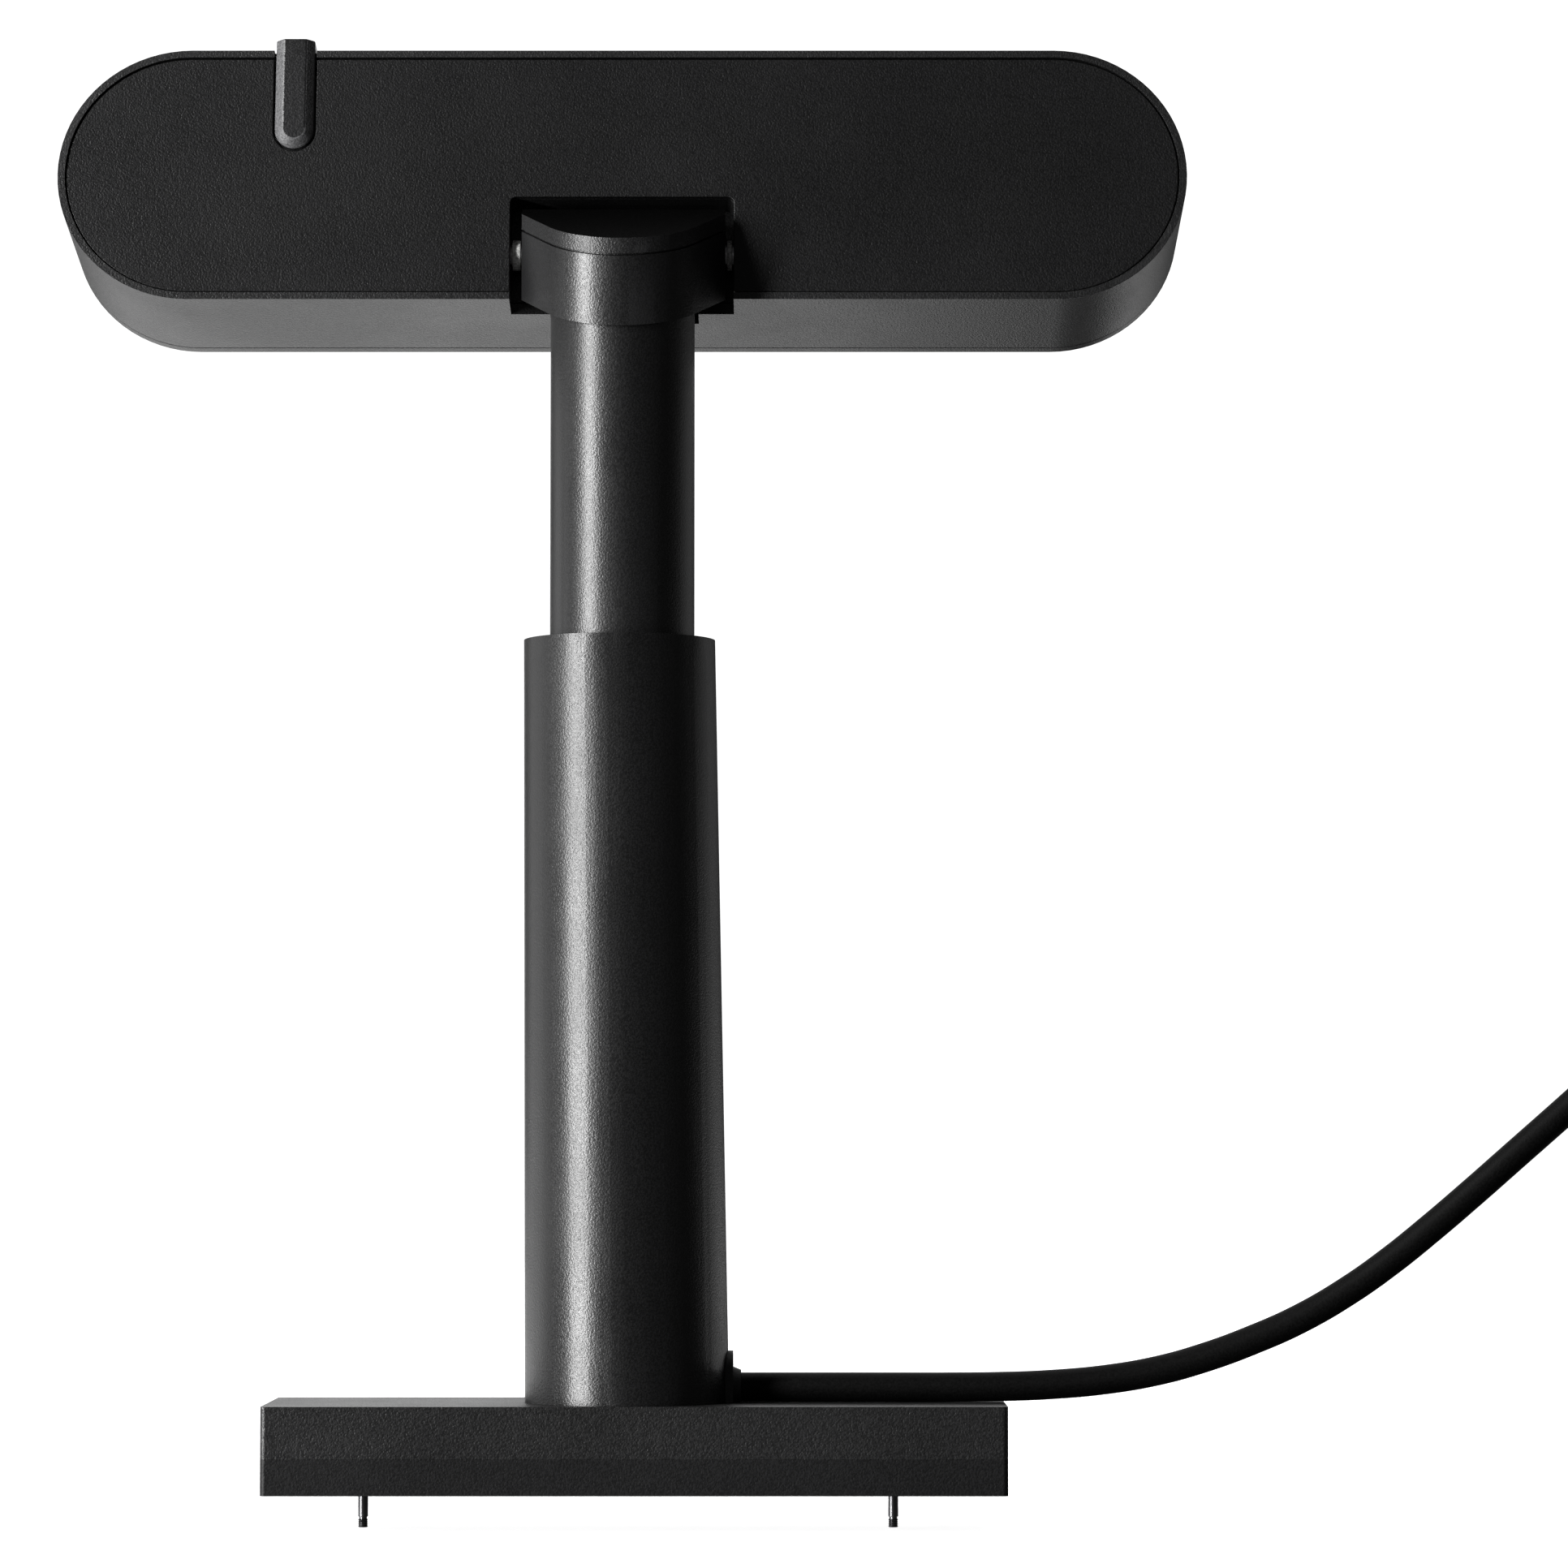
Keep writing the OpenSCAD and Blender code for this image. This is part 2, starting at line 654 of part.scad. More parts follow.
// Wedges that cut the cap's chamfer along its round front.
module knuckle_edge_cut() {
    cy = knuckle_y + knuckle_front_r;
    translate([0, knuckle_y, knuckle_low + knuckle_h]) rotate([knuckle_slope, 0, 0])
        translate([0, cy - knuckle_y, 0]) difference() {
            translate([-40, -40, cap_h * 0.55]) cube([80, 46, 10]);
            translate([0, 0, cap_h * 0.55 - eps])
                cylinder(r1 = knuckle_front_r + 5.5, r2 = knuckle_front_r - 2.4, h = 3, $fn = 128);
            translate([-40, 0, cap_h * 0.5]) cube([80, 46, 10]);
        }
}

module knuckle_screws() {
    color(steel) on_arm() for (x = cap_screw_x) translate([x, cap_screw_y, cap_screw_low]) mirror([0, 0, 1])
        screw_down(1.05, cap_screw_top - cap_screw_low, 1.9, 1.2);
}

module hinge_pin() {
    color(steel) on_arm() translate([head_x, hinge_y, hinge_z]) rod_x(pin_r, -pin_half, pin_half);
}

module hinge_washers() {
    color(nylon) on_arm() translate([0, hinge_y, hinge_z]) for (s = [-1, 1]) difference() {
        inner = knuckle_w + washer_gap;
        outer = pocket_w + s * head_x - washer_gap;
        rod_x(2.9, s > 0 ? inner : -outer, s > 0 ? outer : -inner);
        rod_x(pin_r, -30, 30);
    }
}

module hinge_nuts() {
    color(steel) on_arm() translate([head_x, hinge_y, hinge_z]) for (s = [-1, 1]) difference() {
        translate([s * (pin_half - 1.5), 0, 0]) rotate([0, 90, 0])
            cylinder(r = bush_r, h = 2.4, center = true, $fn = 6);
        rod_x(pin_r, -40, 40);
    }
}

// ---------- head ----------

// The clear space of the hinge pocket: a rounded mouth, and deeper parts for the knuckle and the tube.
module pocket_space() {
    below = head_low + 10;
    translate([0, -face_y - 5, -below]) {
        translate([-pocket_w, 0, 0]) cube([2 * pocket_w, pocket_d + 5, below + pocket_top - pocket_round]);
        translate([-pocket_w + pocket_round, 0, 0])
            cube([2 * (pocket_w - pocket_round), pocket_d + 5, below + pocket_top]);
    }
    for (s = [-1, 1]) translate([s * (pocket_w - pocket_round), 0, pocket_top - pocket_round])
        rod_y(pocket_round, -face_y - 5, pocket_d - face_y);
    // these two are centred on the arm
    translate([-head_x - pocket_mid_w, -face_y, liner_low])
        cube([2 * pocket_mid_w, pocket_deep, pocket_top - liner_low]);
    translate([-head_x - pocket_tube_w, -face_y, -below]) cube([2 * pocket_tube_w, pocket_deep, below]);
}

module button_slot(grow, y0, y1) {
    w = button_w / 2 + grow;
    translate([button_x, 0, button_low + button_w / 2]) rod_y(w, y0, y1);
    translate([button_x - w, y0, button_low + button_w / 2]) cube([2 * w, y1 - y0, 40]);
}

module head_housing() {
    color(black) on_head() difference() {
        pill(head_r, -face_y, lens_cover_y);
        pill(head_r - rim_w, -face_y - 1, seat_y);
        pill(head_r - head_wall - 0.8, seat_y - 1, seat_y + 4);
        pill(head_r - head_wall, seat_y + 2, lens_cover_y + 1);
        pocket_space();
        button_slot(0.35, -face_y - 1, seat_y);
        // seats for the lens cover's screws
        for (p = cover_screw_at) translate([p.x, lens_cover_y - 6, head_mid + p.y]) rod_y(0.9, 0, 8);
    }
}

module face_plate() {
    color(black) on_head() difference() {
        pill(head_r - rim_w - plate_gap, -face_y + plate_in, seat_y);
        pocket_space();
        button_slot(0.35, -face_y - 1, seat_y + 1);
    }
}

module hinge_pocket() {
    liner_h = pocket_top + liner_t - liner_low;
    color(black) on_head() difference() {
        union() {
            translate([-pocket_w - liner_t, seat_y, liner_low])
                cube([2 * (pocket_w + liner_t), pocket_d - face_y - seat_y + liner_t, liner_h]);
            translate([-head_x - pocket_mid_w - liner_t, seat_y, liner_low])
                cube([2 * (pocket_mid_w + liner_t), pocket_deep - face_y - seat_y + liner_t, liner_h]);
        }
        pocket_space();
        rod_x(2.5, -40, 40);
        // clear of the housing's inner lip
        difference() {
            translate([-60, seat_y - 1, -head_low]) cube([120, 5.2, 12]);
            pill(head_r - head_wall - 1, seat_y - 2, seat_y + 6);
        }
    }
}

module hinge_brackets() {
    color(steel) on_head() for (s = [-1, 1]) difference() {
        translate([s > 0 ? bracket_x : -bracket_x - 6, -1.9, -5.8]) cube([6, 9, 16]);
        rod_x(bush_r, -40, 40);
        translate([s * (bracket_x + 3), 0, 8]) rod_y(1, 2, 9);
    }
}

module hinge_bushes() {
    color(brass) on_head() for (s = [-1, 1]) difference() {
        rod_x(bush_r, s > 0 ? bracket_x : -bracket_x - 6, s > 0 ? bracket_x + 6 : -bracket_x);
        rod_x(pin_r + fit_gap, -40, 40);
    }
}

module friction_springs() {
    // dished washers between each bush and its nut
    color(steel) on_head() for (s = [-1, 1]) translate([s * (bracket_x + 6), 0, 0])
        rotate([0, s * 90, 0]) difference() {
            cylinder(r1 = bush_r, r2 = pin_r + 0.5, h = 1.1, $fn = 48);
            translate([0, 0, -1]) cylinder(r = pin_r + 0.2, h = 4, $fn = 48);
        }
}

module bracket_screws() {
    color(steel) on_head() for (s = [-1, 1]) translate([s * (bracket_x + 3), 0, 8])
        rotate([90, 0, 0]) translate([0, 0, -7.1]) rotate([180, 0, 0]) screw_down(1, 4.6, 1.9, 1.2);
}

module lens_cover() {
    color(soft_black) on_head() difference() {
        pill(head_r, lens_cover_y, head_back);
        // seat and clear opening of the window
        translate([0, 0, head_mid]) rotate([-90, 0, 0]) {
            translate([0, 0, head_back - 1.5]) linear_extrude(3) window_outline(0);
            translate([0, 0, lens_cover_y - 1]) linear_extrude(8) window_outline(1.6);
        }
    }
}

// The window's outline, taken in by inset.
module window_outline(inset) {
    square([2 * window_run, 2 * (window_r - inset)], center = true);
    for (s = [-1, 1]) translate([s * window_run, 0]) circle(r = window_r - inset, $fn = 128);
}

module lens_window() {
    color(glass) on_head() translate([0, head_back - 1.5, head_mid]) rotate([-90, 0, 0])
        linear_extrude(1.2) window_outline(0.1);
}

module lens_hood() {
    color(soft_black) on_head() translate([0, 0, head_mid]) difference() {
        rod_y(13, lens_y + 1.8, head_back - 1.7);
        rod_y(9.5, lens_y + 1, head_back - 3);
        translate([0, head_back - 3.5, 0]) rotate([-90, 0, 0]) cylinder(r1 = 9, r2 = 11, h = 3, $fn = 96);
    }
}

module lens_barrel() {
    color(black) on_head() translate([0, 0, head_mid]) difference() {
        union() {
            rod_y(8, lens_y + 1.4, head_back - 3.4);
            rod_y(9.2, lens_y + 1.4, lens_y + 4);
        }
        rod_y(6.2, lens_y + 3, head_back);
    }
}

module lens_glass() {
    // front element: a plano-convex lens
    color(glass) on_head() translate([0, head_back - 5.5, head_mid]) rotate([-90, 0, 0]) intersection() {
        cylinder(r = 6.2, h = 4, $fn = 96);
        translate([0, 0, -12]) sphere(r = 13.8, $fn = 96);
    }
}

module sensor_board() {
    color(board_green) on_head() translate([-14, lens_y, head_mid - 12]) cube([28, 1.2, 24]);
    color(black) on_head() translate([-4, lens_y + 1.2, head_mid - 4]) cube([8, 0.2, 8]);
}

module main_board() {
    color(board_green) on_head() translate([-92, board_y, head_mid - 15]) cube([62, 1.6, 30]);
    color(soft_black) on_head() {
        translate([-78, board_y + 1.6, head_mid - 8]) cube([14, 1.4, 14]);
        translate([-60, board_y + 1.6, head_mid - 10]) cube([9, 1.2, 7]);
        translate([-60, board_y + 1.6, head_mid]) cube([9, 1.2, 7]);
        translate([-44, board_y + 1.6, head_mid - 6]) cube([7, 3, 11]);
    }
}

module board_screws() {
    color(steel) on_head() for (x = [-89, -34], z = [-12, 12])
        translate([x, board_y + 1.6, head_mid + z]) rotate([-90, 0, 0]) cylinder(r = 2, h = 1.2, $fn = 32);
}

module heat_spreader() {
    color(steel) on_head() {
        translate([-84, board_y + 3, head_mid - 12]) cube([30, 1.5, 24]);
        for (x = [-83 : 5.4 : -56]) translate([x, board_y + 4.5, head_mid - 12]) cube([1.2, 5, 24]);
    }
}

module radio_board() {
    color(board_green) on_head() translate([34, board_y, head_mid - 14]) cube([54, 1.6, 28]);
    color(steel) on_head() translate([44, board_y + 1.6, head_mid - 9]) cube([20, 2.4, 18]);
}

module microphones() {
    color(board_green) on_head() for (x = [-94, 94])
        translate([x - 5, lens_cover_y - 3.2, head_mid - 4]) cube([10, 1, 8]);
    color(steel) on_head() for (x = [-94, 94])
        translate([x - 2, lens_cover_y - 2.2, head_mid - 1.5]) cube([4, 1.1, 3]);
}

module status_light() {
    color([0.9, 0.9, 0.85]) on_head() translate([30, 0, head_mid]) rod_y(1.2, 20, head_back - 1.7);
}

module button_tray() {
    color(soft_black) on_head() difference() {
        translate([button_x - 7, seat_y + 0.05, button_low - 3]) cube([14, tray_t, 18.5]);
        translate([button_x, 0, post_z]) rod_y(1.9, -5, 5);
    }
}

module tact_switch() {
    color(board_green) on_head() translate([button_x - 6, switch_y + 2.4, post_z - 7]) cube([12, 1.2, 14]);
    color(soft_black) on_head() translate([button_x - 3, switch_y + 0.4, post_z - 3]) cube([6, 2, 6]);
}

module button_cap() {
    flap_y = 5;
    color(soft_black) on_head() {
        difference() {
            union() {
                // body of the bar inside its slot, then the raised part with sloped sides
                button_block(button_w / 2, -face_y + 0.6, 0.6);
                button_raised(button_w / 2, -face_y, button_out, 1.6);
            }
            translate([button_x - 10, -face_y - 5, head_top + button_over]) cube([20, 20, 10]);
        }
        // flap over the head's top
        translate([button_x - button_w / 2, -face_y, head_top + 0.25])
            cube([button_w, flap_y + face_y, button_over - 0.25]);
        translate([button_x, 0, post_z]) rod_y(1.4, -face_y + 0.5, seat_y + tray_t + 0.4);
    }
}

// The button's plain block, from depth y1 - h to y1.
module button_block(r, y1, h) {
    zc = button_low + button_w / 2;
    translate([button_x, y1 - h, zc]) rotate([-90, 0, 0]) cylinder(r = r, h = h, $fn = 64);
    translate([button_x - r, y1 - h, zc]) cube([2 * r, h, head_top + button_over - zc]);
}

// The raised part: it stands h out of depth y0, with sides that slope in by s.
module button_raised(r, y0, h, s) {
    zc = button_low + button_w / 2;
    l = head_top + button_over - zc;
    translate([button_x, y0, zc]) rotate([90, 0, 0]) cylinder(r1 = r, r2 = r - s, h = h, $fn = 64);
    translate([button_x, y0, zc]) linear_extrude(l)
        polygon([[-r, 0], [r, 0], [r - s, -h], [-r + s, -h]]);
}

// One ring of the spring's wire, turned by angle a about the spring's axis.
function spring_ring(a) = [for (k = [0 : 5]) let (r = spring_r + spring_wire * cos(60 * k))
    [r * cos(a), r * sin(a), spring_wire * (1 + sin(60 * k)) + a / 360 / spring_turns * spring_h]];

module button_spring() {
    // return spring round the button's post
    steps = 40;
    color(steel) on_head() translate([button_x, seat_y + tray_t + 0.1, post_z]) rotate([-90, 0, 0])
        polyhedron(
            points = [for (i = [0 : steps]) each spring_ring(i * spring_turns * 360 / steps)],
            faces = concat([[for (k = [0 : 5]) k]],
                [for (i = [0 : steps - 1], k = [0 : 5])
                    [i * 6 + k, (i + 1) * 6 + k, (i + 1) * 6 + (k + 1) % 6, i * 6 + (k + 1) % 6]],
                [[for (k = [5 : -1 : 0]) steps * 6 + k]]));
}

wall_plate();
base_cover();
mounting_screws();
lock_screws();
terminal_board();
outer_sleeve();
sleeve_foot();
foot_screws();
top_bush();
friction_ring();
cable_gland();
cord_tail();
cord();
cord_plug();
plug_contact();
curly_lead();
inner_tube();
lower_guide();
guide_pins();
arm_lead();
knuckle_body();
knuckle_cap();
knuckle_screws();
hinge_pin();
hinge_washers();
hinge_nuts();
head_housing();
face_plate();
hinge_pocket();
hinge_brackets();
hinge_bushes();
friction_springs();
bracket_screws();
lens_cover();
lens_window();
lens_hood();
lens_barrel();
lens_glass();
sensor_board();
main_board();
board_screws();
heat_spreader();
radio_board();
microphones();
status_light();
button_tray();
tact_switch();
button_cap();
button_spring();
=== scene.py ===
"""Looks of the document camera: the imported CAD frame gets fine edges, materials, a light and a camera."""

import json
import math

import bmesh
import bpy
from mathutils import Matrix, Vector


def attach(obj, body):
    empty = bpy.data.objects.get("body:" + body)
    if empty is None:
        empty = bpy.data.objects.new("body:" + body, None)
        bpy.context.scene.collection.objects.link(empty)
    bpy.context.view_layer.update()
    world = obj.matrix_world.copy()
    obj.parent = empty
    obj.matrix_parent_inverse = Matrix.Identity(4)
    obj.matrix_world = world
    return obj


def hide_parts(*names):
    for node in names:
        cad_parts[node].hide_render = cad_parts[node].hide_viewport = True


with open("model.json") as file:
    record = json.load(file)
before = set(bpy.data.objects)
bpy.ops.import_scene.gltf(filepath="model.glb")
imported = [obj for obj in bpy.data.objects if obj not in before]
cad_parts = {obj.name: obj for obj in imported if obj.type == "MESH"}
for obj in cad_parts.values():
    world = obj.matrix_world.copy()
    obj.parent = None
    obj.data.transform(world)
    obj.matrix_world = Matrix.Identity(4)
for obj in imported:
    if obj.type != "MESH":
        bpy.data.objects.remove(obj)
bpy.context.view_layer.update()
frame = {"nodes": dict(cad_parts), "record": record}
nodes = frame["nodes"]
MM = 0.001


# ---------- camera ----------

CAMERA_AT = Vector((0.0294, -1.1, 0.0666))
CAMERA_PITCH = math.radians(3.477)
CAMERA_LENS = 133.1
SENSOR_WIDTH = 36
NEAREST, FARTHEST = 0.01, 60


def make_camera():
    """A long lens a little above the base and right of the arm, looking along +Y and slightly up."""
    data = bpy.data.cameras.new("view")
    data.lens = CAMERA_LENS
    data.sensor_width = SENSOR_WIDTH
    data.clip_start, data.clip_end = NEAREST, FARTHEST
    camera = bpy.data.objects.new("view", data)
    bpy.context.scene.collection.objects.link(camera)
    aim = Vector((0, math.cos(CAMERA_PITCH), math.sin(CAMERA_PITCH)))
    camera.location = CAMERA_AT
    camera.rotation_mode = "QUATERNION"
    camera.rotation_quaternion = aim.to_track_quat("-Z", "Y")
    bpy.context.scene.camera = camera


# ---------- materials ----------

NOISE_ROUGHNESS = 0.55
DARK, LIGHT = 0.6, 1.8  # a plastic's darkest and lightest tone, as multiples of its colour
ADDED = 0.0008          # added to the lightest tone, so that black plastic has some grain too
EDGE_START, EDGE_END = 0.53, 0.62   # pointiness from which edges are paler, and where they are palest: a painted edge highlight
PATCHES = 38            # soft gloss patches per metre
PATCH_SPREAD = 0.06     # how far the patches move the roughness
FINE_SPREAD = 0.03      # how far the grain moves it
GRAIN_DEPTH = 0.00014   # height of the moulded grain, in metres
LINE_DEPTH = 0.00003    # height of the lines on metal
METAL_GRAIN = 1800      # lines per metre on metal, before they are stretched
STAINS = 120            # stains per metre on metal
TRACK_DEPTH = 0.00005   # height of a board's copper tracks


def nodes_of(name):
    """A new material with an empty tree but for its output, and that tree."""
    material = bpy.data.materials.new(name)
    material.use_nodes = True
    tree = material.node_tree
    tree.nodes.clear()
    out = tree.nodes.new("ShaderNodeOutputMaterial")
    shader = tree.nodes.new("ShaderNodeBsdfPrincipled")
    tree.links.new(shader.outputs["BSDF"], out.inputs["Surface"])
    return material, tree, shader


def noise(tree, place, scale, detail=3.0):
    """A noise texture in metres of object space; scale is in features per metre."""
    node = tree.nodes.new("ShaderNodeTexNoise")
    node.inputs["Scale"].default_value = scale
    node.inputs["Detail"].default_value = detail
    node.inputs["Roughness"].default_value = NOISE_ROUGHNESS
    tree.links.new(place, node.inputs["Vector"])
    return node.outputs["Fac"]


def ramp(tree, value, low, high, start=0.35, end=0.65):
    """Maps a value from start to end onto low to high, clamped."""
    node = tree.nodes.new("ShaderNodeMapRange")
    for key, number in (("From Min", start), ("From Max", end), ("To Min", low), ("To Max", high)):
        node.inputs[key].default_value = number
    tree.links.new(value, node.inputs["Value"])
    return node.outputs["Result"]


def blend_colour(tree, factor, dark, light):
    """Mixes two colours by a factor."""
    node = tree.nodes.new("ShaderNodeMix")
    node.data_type = "RGBA"
    node.inputs["A"].default_value = (*dark, 1)
    node.inputs["B"].default_value = (*light, 1)
    tree.links.new(factor, node.inputs["Factor"])
    return node.outputs["Result"]


def bump(tree, shader, height, strength, distance):
    """Feeds a height into the shader's normal."""
    node = tree.nodes.new("ShaderNodeBump")
    node.inputs["Strength"].default_value = strength
    node.inputs["Distance"].default_value = distance
    tree.links.new(height, node.inputs["Height"])
    tree.links.new(node.outputs["Normal"], shader.inputs["Normal"])


def grained(name, colour, rough, grain=2800, depth=0.5, specular=0.5):
    """Moulded plastic or powder coat: a fine grain, soft patches of gloss and slightly paler edges, which
    are a painted edge highlight.
    """
    material, tree, shader = nodes_of(name)
    place = tree.nodes.new("ShaderNodeTexCoord").outputs["Object"]
    fine = noise(tree, place, grain, detail=1.0)
    patches = noise(tree, place, PATCHES, detail=4.0)
    edge = tree.nodes.new("ShaderNodeNewGeometry").outputs["Pointiness"]
    # convex edges are painted paler, as a painted edge highlight
    painted_edge_highlight = ramp(tree, edge, 0.0, 1.0, EDGE_START, EDGE_END)
    tone = tree.nodes.new("ShaderNodeMath")
    tone.operation = "ADD"
    tone.use_clamp = True
    tree.links.new(ramp(tree, fine, 0.0, 0.6), tone.inputs[0])
    tree.links.new(painted_edge_highlight, tone.inputs[1])
    dark = [c * DARK for c in colour]
    light = [c * LIGHT + ADDED for c in colour]
    tree.links.new(blend_colour(tree, tone.outputs[0], dark, light), shader.inputs["Base Color"])
    gloss = tree.nodes.new("ShaderNodeMath")
    gloss.operation = "ADD"
    low, high = rough - PATCH_SPREAD / 2, rough + PATCH_SPREAD / 2
    tree.links.new(ramp(tree, patches, low, high), gloss.inputs[0])
    tree.links.new(ramp(tree, fine, -FINE_SPREAD, FINE_SPREAD), gloss.inputs[1])
    tree.links.new(gloss.outputs[0], shader.inputs["Roughness"])
    shader.inputs["Specular IOR Level"].default_value = specular
    bump(tree, shader, fine, depth, GRAIN_DEPTH)
    return material


def metal(name, colour, rough, stretch=(1, 1, 12)):
    """Turned or drawn metal: fine lines along one direction over soft stains."""
    material, tree, shader = nodes_of(name)
    place = tree.nodes.new("ShaderNodeTexCoord").outputs["Object"]
    mapping = tree.nodes.new("ShaderNodeMapping")
    mapping.inputs["Scale"].default_value = stretch
    tree.links.new(place, mapping.inputs["Vector"])
    lines = noise(tree, mapping.outputs["Vector"], METAL_GRAIN)
    stains = noise(tree, place, STAINS, detail=4.0)
    tone = blend_colour(tree, ramp(tree, stains, 0.0, 1.0), [c * 0.8 for c in colour], colour)
    tree.links.new(tone, shader.inputs["Base Color"])
    tree.links.new(ramp(tree, lines, rough * 0.8, rough * 1.25), shader.inputs["Roughness"])
    shader.inputs["Metallic"].default_value = 1.0
    bump(tree, shader, lines, 0.2, LINE_DEPTH)
    return material


def circuit_board(name):
    """Solder mask over faint copper tracks."""
    material, tree, shader = nodes_of(name)
    place = tree.nodes.new("ShaderNodeTexCoord").outputs["Object"]
    bricks = tree.nodes.new("ShaderNodeTexBrick")
    for key, value in (("Scale", 330), ("Mortar Size", 0.05), ("Brick Width", 1.7), ("Row Height", 0.4)):
        bricks.inputs[key].default_value = value
    bricks.inputs["Color1"].default_value = (0.012, 0.085, 0.035, 1)
    bricks.inputs["Color2"].default_value = (0.016, 0.11, 0.045, 1)
    bricks.inputs["Mortar"].default_value = (0.03, 0.18, 0.08, 1)
    tree.links.new(place, bricks.inputs["Vector"])
    tree.links.new(bricks.outputs["Color"], shader.inputs["Base Color"])
    tree.links.new(ramp(tree, noise(tree, place, 400), 0.25, 0.4), shader.inputs["Roughness"])
    bump(tree, shader, bricks.outputs["Fac"], 0.3, TRACK_DEPTH)
    return material


def tinted_glass(name, colour, clear, rough=0.04):
    """Coated glass: it lets part of the light through and carries a faint smear."""
    material, tree, shader = nodes_of(name)
    place = tree.nodes.new("ShaderNodeTexCoord").outputs["Object"]
    smear = noise(tree, place, 60, detail=5.0)
    tree.links.new(blend_colour(tree, smear, colour, [c * 1.6 for c in colour]), shader.inputs["Base Color"])
    tree.links.new(ramp(tree, smear, rough, rough + 0.05), shader.inputs["Roughness"])
    shader.inputs["Transmission Weight"].default_value = clear
    shader.inputs["IOR"].default_value = 1.5
    shader.inputs["Coat Weight"].default_value = 0.6
    shader.inputs["Coat Roughness"].default_value = 0.03
    return material


def milky(name):
    """Milky light pipe."""
    material, tree, shader = nodes_of(name)
    place = tree.nodes.new("ShaderNodeTexCoord").outputs["Object"]
    cloud = noise(tree, place, 900)
    tone = blend_colour(tree, cloud, (0.62, 0.62, 0.58), (0.8, 0.8, 0.78))
    tree.links.new(tone, shader.inputs["Base Color"])
    tree.links.new(ramp(tree, cloud, 0.2, 0.35), shader.inputs["Roughness"])
    shader.inputs["Subsurface Weight"].default_value = 0.4
    return material


# a node whose surface is duller than the rest of its slot
DULLER = {"wall_plate": "plate_plastic"}
# the way that the head's back faces at rest, and straight up
BACK, UPWARD = Vector((0, -0.9816, 0.1908)), Vector((0, 0, 1))
# the button's chamfer and the cap's sloping top: the direction, the least and most angle of a face
# from it in degrees, and the material of those faces: a paler one as painted highlight on the chamfer, a
# darker one as painted shade on the cap's top
PARTS = {
    "button_cap": (BACK, 22, 68, "button_chamfer_painted_highlight"),
    "knuckle_cap": (UPWARD, 0, 70, "cap_top_painted_shade"),
}


def make_materials():
    """One material for each slot in the record, one for the duller surface in DULLER, and the painted
    highlight and painted shade in PARTS.
    """
    return {
        "black_plastic": grained("black_plastic", (0.006, 0.006, 0.0062), 0.4, depth=0.7, specular=0.45),
        "plate_plastic": grained("plate_plastic", (0.0042, 0.0042, 0.0044), 0.5, specular=0.22),
        # near black with almost no gloss: painted shade on the cap's top, which sits in the pocket
        "cap_top_painted_shade": grained("cap_top_painted_shade", (0.0008, 0.0008, 0.0008), 0.6, depth=0.3, specular=0.02),
        "face_plastic": grained("face_plastic", (0.0035, 0.0035, 0.0037), 0.44, depth=0.7, specular=0.27),
        # a paler copy of the button's plastic: painted highlight on its chamfer
        "button_chamfer_painted_highlight": grained("button_chamfer_painted_highlight", (0.075, 0.075, 0.077), 0.45, specular=0.4),
        "button_plastic": grained("button_plastic", (0.008, 0.008, 0.0084), 0.36),
        "black_metal": grained("black_metal", (0.0045, 0.0045, 0.0047), 0.34, depth=0.4),
        "black_rubber": grained("black_rubber", (0.005, 0.005, 0.005), 0.62, grain=1500),
        "cord_jacket": grained("cord_jacket", (0.002, 0.002, 0.002), 0.55, depth=0.2, specular=0.08),
        "slide_plastic": grained("slide_plastic", (0.012, 0.012, 0.0125), 0.35),
        "steel": metal("steel", (0.52, 0.52, 0.53), 0.32),
        "black_steel": metal("black_steel", (0.16, 0.16, 0.165), 0.35),
        "nylon": grained("nylon", (0.42, 0.42, 0.41), 0.8, grain=1400, depth=0.15, specular=0.1),
        "brass": metal("brass", (0.7, 0.52, 0.24), 0.28),
        "aluminium": metal("aluminium", (0.74, 0.74, 0.75), 0.35, stretch=(12, 1, 1)),
        "circuit_board": circuit_board("circuit_board"),
        "window_glass": tinted_glass("window_glass", (0.012, 0.012, 0.015), 0.35),
        "lens_glass": tinted_glass("lens_glass", (0.25, 0.3, 0.42), 0.9, 0.01),
        "light_pipe": milky("light_pipe"),
    }


# ---------- pieces ----------

slot_of = {part["node"]: part["material_slot"] for part in frame["record"]["subparts"]}
body_of_node = {n: body for body, names in frame["record"]["behaviour"]["bodies"].items() for n in names}


def finish_piece(piece, node, materials):
    """The piece stands for a CAD node: it takes that node's body, slot and material."""
    piece.data.materials.clear()
    piece.data.materials.append(materials[DULLER.get(node, slot_of[node])])
    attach(piece, body_of_node[node])
    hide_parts(node)


WELD_DISTANCE = 2e-6
FLAT_ANGLE = math.radians(0.6)


def welded(node):
    """The CAD node's shape as one closed bmesh, with the edges between flat facets dissolved."""
    mesh = bmesh.new()
    mesh.from_mesh(nodes[node].data)
    bmesh.ops.remove_doubles(mesh, verts=mesh.verts, dist=WELD_DISTANCE)
    bmesh.ops.dissolve_limit(mesh, angle_limit=FLAT_ANGLE, verts=mesh.verts, edges=mesh.edges)
    return mesh


EDGE_SEGMENTS = 3
EDGE_ANGLE = math.radians(32)


